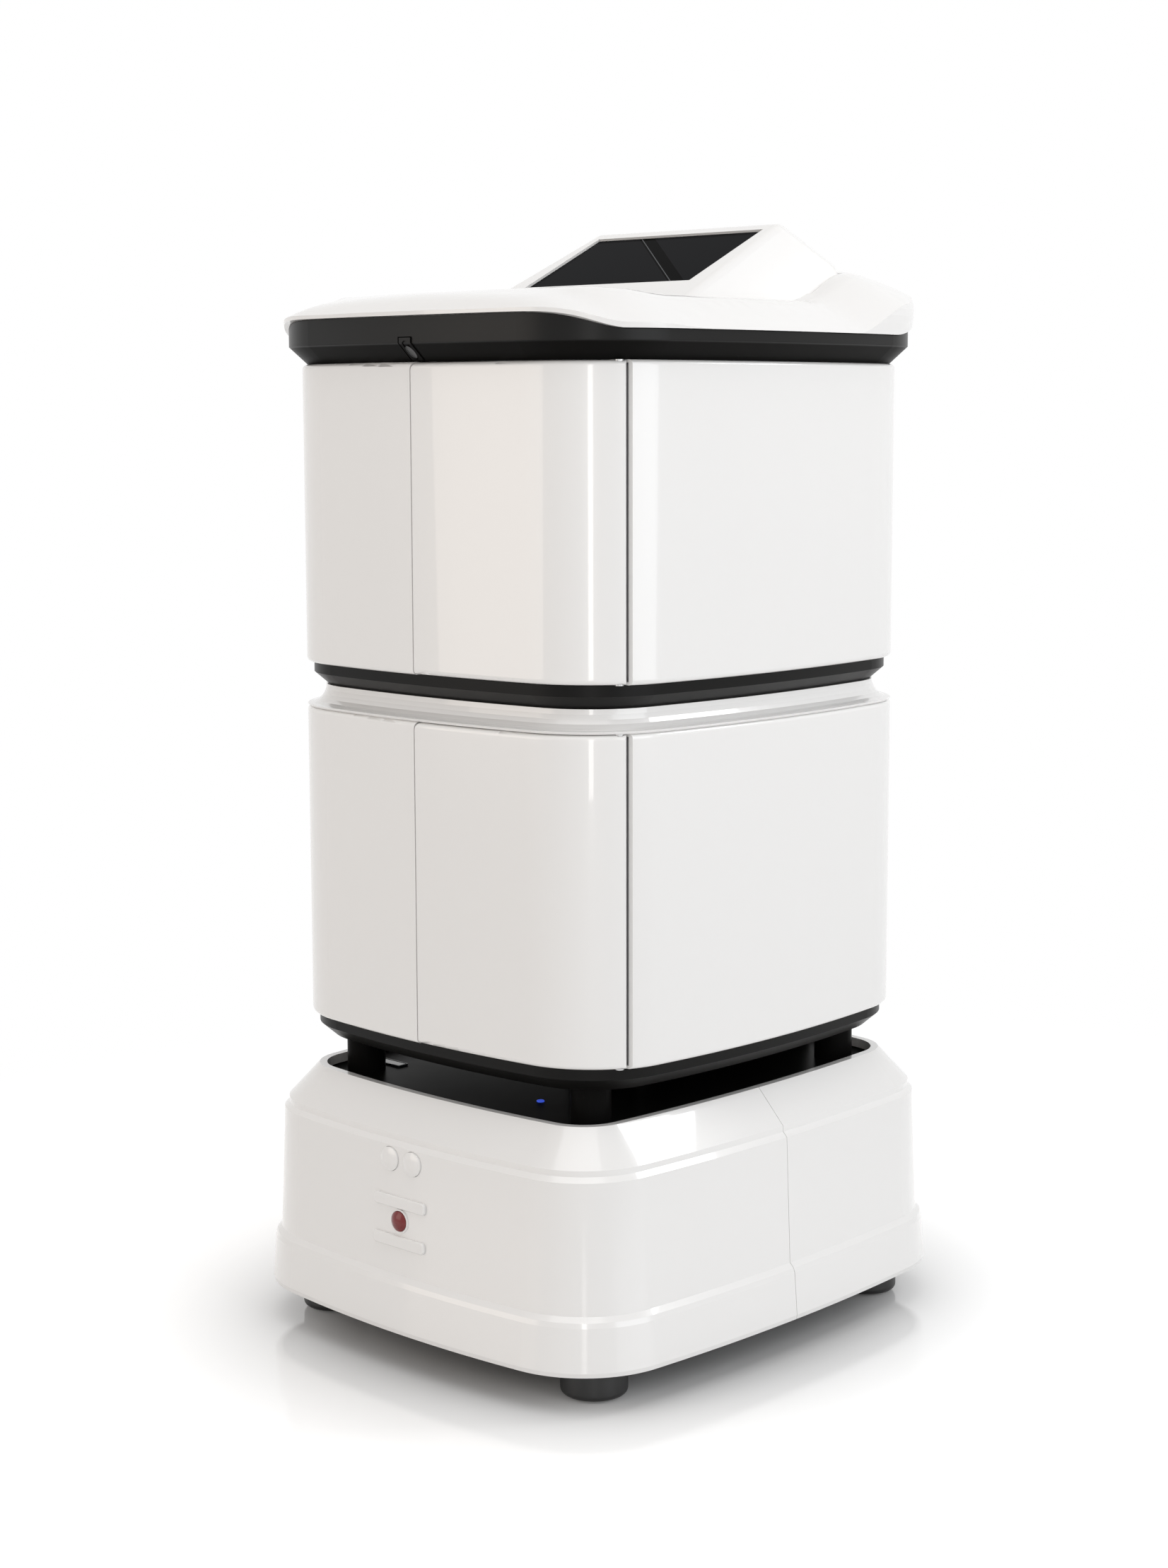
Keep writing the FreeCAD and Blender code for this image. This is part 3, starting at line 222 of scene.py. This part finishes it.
def ramp(tree, value, start, end, low, high):
    """low up to start, high from end on, smooth between."""
    spread = tree.nodes.new("ShaderNodeMapRange")
    spread.interpolation_type = "SMOOTHSTEP"
    tree.links.new(value, spread.inputs["Value"])
    for name, number in (("From Min", start), ("From Max", end), ("To Min", low), ("To Max", high)):
        spread.inputs[name].default_value = number
    return spread.outputs["Result"]


def line_mask(tree, place, start, end, half_width):
    """1 within half_width of the line through two (x, y) points, in plan, else 0."""
    run = Vector((end[0] - start[0], end[1] - start[1]))
    across = Vector((run.y, -run.x)).normalized()
    dot = tree.nodes.new("ShaderNodeVectorMath")
    dot.operation = "DOT_PRODUCT"
    dot.inputs[1].default_value = (across.x, across.y, 0)
    tree.links.new(place.outputs["Object"], dot.inputs[0])
    base = across.x * start[0] + across.y * start[1]
    offset = math_node(tree, "SUBTRACT", dot.outputs["Value"], base)
    return math_node(tree, "LESS_THAN", math_node(tree, "ABSOLUTE", offset), half_width)


def mix_color(tree, mask, below, above):
    """below where the mask is 0, above where it is 1; below may be a socket."""
    mix = tree.nodes.new("ShaderNodeMix")
    mix.data_type = "RGBA"
    tree.links.new(mask, mix.inputs["Factor"])
    if isinstance(below, tuple):
        mix.inputs["A"].default_value = (*below, 1)
    else:
        tree.links.new(below, mix.inputs["A"])
    mix.inputs["B"].default_value = (*above, 1)
    return mix.outputs["Result"]


def seen_directly(tree):
    """1 for rays from the camera, a mirror or glass, else 0."""
    path = tree.nodes.new("ShaderNodeLightPath")
    shown = path.outputs["Is Camera Ray"]
    for ray in ("Is Glossy Ray", "Is Transmission Ray"):
        shown = math_node(tree, "MAXIMUM", shown, path.outputs[ray])
    return shown


# ---- finishes ----


def plain(name, color, low, high, metallic=0.0, scale=900.0, height=0.00003):
    """One colour with a fine grain; low and high bound its roughness."""
    material, tree, shader = principled(name, color, (low + high) / 2, metallic)
    add_grain(tree, shader, scale, height, low, high)
    return material


def white_gloss():
    """Moulded white shell under a clear coat."""
    material, tree, shader = principled("white_gloss", (0.83, 0.82, 0.81), 0.2)
    shader.inputs["Coat Weight"].default_value = 0.8
    shader.inputs["Coat Roughness"].default_value = 0.03
    add_grain(tree, shader, 90.0, 0.00002, 0.2, 0.26)
    return material


def satin_black():
    """Black paint: matt on the deck and under the collar, a sheen on the trays, more on the collar's band."""
    material, tree, shader = principled("satin_black", (0.006, 0.0058, 0.0055), 0.36)
    add_grain(tree, shader, 1400.0, 0.00004, 0.3, 0.38)
    place = tree.nodes.new("ShaderNodeTexCoord")
    split = tree.nodes.new("ShaderNodeSeparateXYZ")
    tree.links.new(place.outputs["Object"], split.inputs[0])
    height = split.outputs["Z"]
    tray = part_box("lower_tray")[0][2]
    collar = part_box("collar")[0][2]
    kink = collar + UNDERCUT
    trays = ramp(tree, height, tray - 0.002, tray, MATT, TRAY_SHEEN)
    under = ramp(tree, height, collar - 0.001, collar + 0.001, 0.0, MATT - TRAY_SHEEN)
    band = ramp(tree, height, kink - 0.002, kink + 0.001, 0.0, BAND_SHEEN - MATT)
    sheen = math_node(tree, "ADD", math_node(tree, "ADD", trays, under), band)
    tree.links.new(sheen, shader.inputs["Specular IOR Level"])
    return material


def display_glass():
    """Black cover glass with a painted reflection: a dark band across it and a thin light line beside the
    band.
    """
    material, tree, shader = principled("display_glass", GLASS, 0.08, specular=0.002)
    place = tree.nodes.new("ShaderNodeTexCoord")
    low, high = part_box("screen_glass")
    top = (high[0] * REFLECTION_TOP, high[1])
    foot = (high[0] * REFLECTION_FOOT, low[1])
    band_top, band_foot = [(x + REFLECTION_SHIFT, y) for x, y in (top, foot)]
    band = line_mask(tree, place, band_top, band_foot, REFLECTION_HALF_BAND)
    line = line_mask(tree, place, top, foot, REFLECTION_HALF_LINE)
    # the painted reflection's dark band, then its light line, mixed into the glass colour
    color = mix_color(tree, band, GLASS, REFLECTION_DARK)
    color = mix_color(tree, line, color, REFLECTION_LIGHT)
    tree.links.new(color, shader.inputs["Base Color"])
    return material


def lit_blue():
    """The status lamp's lens, glowing faintly."""
    material, tree, shader = principled("blue_lamp", (0.03, 0.05, 0.25), 0.18)
    add_grain(tree, shader, 900.0, 0.00003, 0.15, 0.2)
    shader.inputs["Emission Color"].default_value = (0.06, 0.14, 1.0, 1)
    shader.inputs["Emission Strength"].default_value = 0.5
    return material


MATERIALS = {
    "white_shell": white_gloss(),
    "black_trim": satin_black(),
    "screen_glass": display_glass(),
    "blue_lamp": lit_blue(),
    "red_cap": plain("red_cap", (0.17, 0.006, 0.006), 0.16, 0.22, scale=90.0, height=0.00002),
    "chassis_paint": plain("chassis_paint", (0.03, 0.03, 0.033), 0.4, 0.55),
    "battery_case": plain("battery_case", (0.1, 0.1, 0.11), 0.35, 0.45, metallic=0.8),
    "unit_case": plain("unit_case", (0.12, 0.13, 0.14), 0.45, 0.6),
    "lidar_cover": plain("lidar_cover", (0.006, 0.006, 0.008), 0.06, 0.1),
    "smoked_window": plain("smoked_window", (0.02, 0.023, 0.027), 0.08, 0.14),
    "pivot_steel": plain("pivot_steel", (0.5, 0.5, 0.5), 0.25, 0.35, metallic=1.0),
    "liner_plastic": plain("liner_plastic", (0.45, 0.45, 0.46), 0.4, 0.5),
    "soft_rubber": plain("soft_rubber", (0.012, 0.012, 0.012), 0.7, 0.85),
    "module_plastic": plain("module_plastic", (0.03, 0.03, 0.032), 0.5, 0.6),
    "arm_casting": plain("arm_casting", (0.42, 0.42, 0.43), 0.4, 0.5, metallic=1.0),
    "motor_paint": plain("motor_paint", (0.04, 0.04, 0.043), 0.35, 0.45),
    "hub_casting": plain("hub_casting", (0.5, 0.5, 0.51), 0.3, 0.4, metallic=1.0),
    "tyre_rubber": plain("tyre_rubber", (0.014, 0.014, 0.014), 0.65, 0.8),
    "cup_steel": plain("cup_steel", (0.012, 0.012, 0.012), 0.35, 0.45),
    "caster_plastic": plain("caster_plastic", (0.03, 0.03, 0.032), 0.4, 0.5),
}


def dress_nodes():
    """Gives every CAD node its slot's material and smooth faces with crisp edges."""
    slots = {s["node"]: s["material_slot"] for s in frame["record"]["subparts"]}
    for name, node in NODES.items():
        mesh = node.data
        mesh.materials.clear()
        mesh.materials.append(MATERIALS[slots[name]])
        mesh.polygons.foreach_set("use_smooth", [True] * len(mesh.polygons))
        split = node.modifiers.new("crisp", "EDGE_SPLIT")
        split.split_angle = SMOOTH_ANGLE


dress_nodes()


# ---- small pieces ----


def middle_of(low, high):
    return Vector([(a + b) / 2 for a, b in zip(low, high)])


def start_piece(add, name, **place):
    """Adds a primitive with nothing else selected, and opens it in edit mode."""
    bpy.ops.object.select_all(action="DESELECT")
    add(**place)
    piece = bpy.context.active_object
    piece.name = name
    bpy.ops.object.mode_set(mode="EDIT")
    bpy.ops.mesh.select_all(action="SELECT")
    return piece


def end_piece(piece, material, node, bevel):
    """Rounds the edges, puts the place in the mesh and rides it on the body of a node."""
    bpy.ops.mesh.select_all(action="SELECT")
    bpy.ops.mesh.normals_make_consistent(inside=False)
    bpy.ops.object.mode_set(mode="OBJECT")
    bpy.ops.object.transform_apply(location=True, rotation=True, scale=True)
    edge = piece.modifiers.new("edge", "BEVEL")
    edge.width = bevel
    edge.segments = 2
    edge.limit_method = "ANGLE"
    bpy.ops.object.modifier_apply(modifier=edge.name)
    bpy.ops.object.shade_smooth_by_angle(angle=SMOOTH_ANGLE)
    piece.data.materials.append(material)
    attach(piece, body_of(NODES[node])[0])


def extrude(distance):
    """Extrudes the selected faces along their normals."""
    bpy.ops.mesh.extrude_region_shrink_fatten(TRANSFORM_OT_shrink_fatten={"value": distance})


def window_frame():
    """The thin edge line round the smoked window in the deck."""
    low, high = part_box("deck_window")
    middle = middle_of(low, high)
    middle.z = high[2]
    piece = start_piece(
        bpy.ops.mesh.primitive_plane_add, "deck_window_frame", size=1, location=middle
    )
    size = (high[0] - low[0], high[1] - low[1], 1)
    bpy.ops.transform.resize(value=size, center_override=middle)
    bpy.ops.mesh.inset(thickness=FRAME_LINE)
    bpy.ops.mesh.delete(type="FACE")
    bpy.ops.mesh.select_all(action="SELECT")
    bpy.ops.mesh.extrude_region_move(TRANSFORM_OT_translate={"value": (0, 0, FRAME_RISE)})
    line = plain("window_line", (0.1, 0.105, 0.11), 0.3, 0.4)
    end_piece(piece, line, "deck_window", FRAME_EDGE)


def latch_pad():
    """The oval thumb pad, with a raised rim, on the latch's sloping face."""
    sloping = [f for f in NODES["latch"].data.polygons if f.normal.y < -0.5 and f.normal.z < -0.5]
    area = sum(f.area for f in sloping)
    centre = sum((f.center * f.area for f in sloping), Vector()) / area
    normal = sloping[0].normal
    piece = start_piece(
        bpy.ops.mesh.primitive_circle_add, "latch_pad",
        vertices=40, radius=PAD_REACH, fill_type="NGON",
        location=centre, rotation=(math.atan2(-normal.y, normal.z), 0, 0),
    )
    bpy.ops.transform.resize(value=(1, PAD_STRETCH, PAD_STRETCH), center_override=centre)
    extrude(PAD_RISE)
    bpy.ops.mesh.inset(thickness=PAD_RIM)
    extrude(-PAD_DISH)
    rim = plain("latch_rim", (0.012, 0.012, 0.012), 0.25, 0.35)
    end_piece(piece, rim, "latch", PAD_EDGE)


def hub_screw(side, name):
    """The cap screw and washer that hold a drive hub on its shaft."""
    hub = "drive_hub_" + name
    axle = middle_of(*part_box(hub))
    outward = [f for f in NODES[hub].data.polygons if f.normal.x * side > 0.99]
    web = min(abs(f.center.x) for f in outward if abs(f.center.x) > abs(axle.x))
    piece = start_piece(
        bpy.ops.mesh.primitive_circle_add, "hub_screw_" + name,
        vertices=24, radius=WASHER_REACH, fill_type="NGON",
        location=(side * web, axle.y, axle.z), rotation=(0, side * math.pi / 2, 0),
    )
    extrude(WASHER_RISE)
    bpy.ops.mesh.inset(thickness=WASHER_LIP)
    extrude(SCREW_RISE)
    bpy.ops.mesh.inset(thickness=SCREW_WALL)
    extrude(-SCREW_SOCKET)
    end_piece(piece, MATERIALS["pivot_steel"], hub, SCREW_EDGE)


def suspension_spring(name):
    """A rubber spring whose top stays with the chassis and whose foot follows the drive arm."""
    node = NODES["rubber_spring_" + name]
    low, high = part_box(node.name)
    middle = middle_of(low, high)
    bpy.ops.object.select_all(action="DESELECT")
    piece = bpy.data.objects.new("suspension_spring_" + name, node.data.copy())
    bpy.context.scene.collection.objects.link(piece)
    bpy.context.view_layer.objects.active = piece
    piece.select_set(True)
    bpy.ops.object.mode_set(mode="EDIT")
    bpy.ops.mesh.select_all(action="SELECT")
    bpy.ops.mesh.remove_doubles(threshold=WELD)
    bpy.ops.mesh.normals_make_consistent(inside=False)
    bpy.ops.object.mode_set(mode="OBJECT")
    bpy.ops.object.shade_smooth_by_angle(angle=SMOOTH_ANGLE)
    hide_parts("rubber_spring_" + name)
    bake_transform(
        piece, "chassis", "arm_" + name,
        start=(middle.x, middle.y, high[2]), end=(middle.x, middle.y, low[2]),
    )


window_frame()
latch_pad()
for side, name in ((-1, "left"), (1, "right")):
    hub_screw(side, name)
    suspension_spring(name)


# ---- stage ----


def area_light(name, place, target, size, power, color=WHITE):
    light = bpy.data.lights.new(name, "AREA")
    light.shape = "RECTANGLE"
    light.size, light.size_y = size
    light.energy = power
    light.color = color
    lamp = bpy.data.objects.new(name, light)
    bpy.context.scene.collection.objects.link(lamp)
    lamp.location = place
    lamp.rotation_euler = (Vector(target) - Vector(place)).to_track_quat("-Z", "Y").to_euler()


def distance_from_robot(tree):
    """Plan distance from the middle, in half sizes of the robot, so it is 1 at its sides."""
    place = tree.nodes.new("ShaderNodeTexCoord")
    spread = tree.nodes.new("ShaderNodeMapping")
    half = [(b - a) / 2 for a, b in zip(*loaded_size)]
    spread.inputs["Scale"].default_value = (1 / half[0], 1 / half[1], 0)
    tree.links.new(place.outputs["Object"], spread.inputs["Vector"])
    reach = tree.nodes.new("ShaderNodeVectorMath")
    reach.operation = "LENGTH"
    tree.links.new(spread.outputs[0], reach.inputs[0])
    return reach.outputs["Value"]


def floor_finish():
    """Polished pale floor: real shading near the robot, with painted light added further out, so the floor
    stays darker round the robot as painted shadow, and white far away.
    """
    grey = (FLOOR_GREY, FLOOR_GREY, FLOOR_GREY)
    material, tree, shader = principled("studio_floor", grey, 0.07, specular=0.35)
    reach = distance_from_robot(tree)
    # painted light on the floor, none near the robot, which leaves a painted shadow round it
    painted_lift = ramp(tree, reach, PAINTED_LIFT_FROM, PAINTED_LIFT_TO, 0.0, FLOOR_PAINTED_LIFT)
    away = ramp(tree, reach, WHITE_FROM, WHITE_TO, 0.0, 1.0)
    shown = seen_directly(tree)
    painted_glow = tree.nodes.new("ShaderNodeEmission")
    tree.links.new(math_node(tree, "MULTIPLY", shown, painted_lift), painted_glow.inputs["Strength"])
    both = tree.nodes.new("ShaderNodeAddShader")
    tree.links.new(shader.outputs[0], both.inputs[0])
    tree.links.new(painted_glow.outputs[0], both.inputs[1])
    white = tree.nodes.new("ShaderNodeEmission")
    mix = tree.nodes.new("ShaderNodeMixShader")
    tree.links.new(math_node(tree, "MULTIPLY", shown, away), mix.inputs[0])
    tree.links.new(both.outputs[0], mix.inputs[1])
    tree.links.new(white.outputs[0], mix.inputs[2])
    tree.links.new(mix.outputs[0], tree.nodes["Material Output"].inputs["Surface"])
    return material


def build_floor():
    bpy.ops.object.select_all(action="DESELECT")
    bpy.ops.mesh.primitive_circle_add(
        vertices=96, radius=FLOOR_RADIUS, fill_type="NGON", location=(0, 0, -FLOOR_DROP)
    )
    floor = bpy.context.active_object
    floor.name = "studio_floor"
    floor.data.materials.append(floor_finish())


def build_world():
    """White where it is seen, straight or in a mirror, and a soft fill for the rest."""
    world = bpy.data.worlds.new("studio")
    bpy.context.scene.world = world
    world.use_nodes = True
    tree = world.node_tree
    tree.nodes.clear()
    out = tree.nodes.new("ShaderNodeOutputWorld")
    mix = tree.nodes.new("ShaderNodeMixShader")
    tree.links.new(seen_directly(tree), mix.inputs[0])
    for socket, color, strength in ((1, (1, 0.985, 0.97), WORLD_FILL), (2, WHITE, 1.0)):
        light = tree.nodes.new("ShaderNodeBackground")
        light.inputs["Color"].default_value = (*color, 1)
        light.inputs["Strength"].default_value = strength
        tree.links.new(light.outputs[0], mix.inputs[socket])
    tree.links.new(mix.outputs[0], out.inputs["Surface"])


def build_camera():
    """A long lens from the front right, a little above the middle of the robot."""
    level = Vector((math.sin(AZIMUTH), -math.cos(AZIMUTH), 0))
    back = level * math.cos(ELEVATION) + Vector((0, 0, math.sin(ELEVATION)))
    right = Vector((math.cos(AZIMUTH), math.sin(AZIMUTH), 0))
    up = back.cross(right)
    rolled_right = right * math.cos(ROLL) + up * math.sin(ROLL)
    rolled_up = up * math.cos(ROLL) - right * math.sin(ROLL)
    data = bpy.data.cameras.new("camera")
    data.lens = LENS
    data.sensor_width = 36
    data.clip_end = 60
    camera = bpy.data.objects.new("camera", data)
    bpy.context.scene.collection.objects.link(camera)
    target = right * AIM_ASIDE + Vector((0, 0, AIM_HEIGHT))
    turn = Matrix((rolled_right, rolled_up, back)).transposed().to_4x4()
    camera.matrix_world = Matrix.Translation(target + back * DISTANCE) @ turn
    bpy.context.scene.camera = camera


build_floor()
build_world()
build_camera()
area_light("top", (0.3, -0.6, 3.4), (0, 0, 0.5), (2.4, 2.4), 23)
area_light("right", (2.9, 0.2, 1.6), (0, 0, 0.7), (2.2, 2.6), 32, (0.93, 0.965, 1))
area_light("front", (-1.4, -3.2, 1.3), (0, 0, 0.6), (2.2, 2.2), 21, (1, 0.88, 0.77))
area_light("strip", (2.3, -2.5, 1.3), (0, 0, 0.7), (0.3, 2.4), 12, (1, 0.98, 0.96))
area_light("shoulder", (1.13, 1.33, 2.05), (0.262, -0.2, 0.27), (0.45, 0.5), 6)

bpy.context.scene.view_settings.view_transform = "Standard"
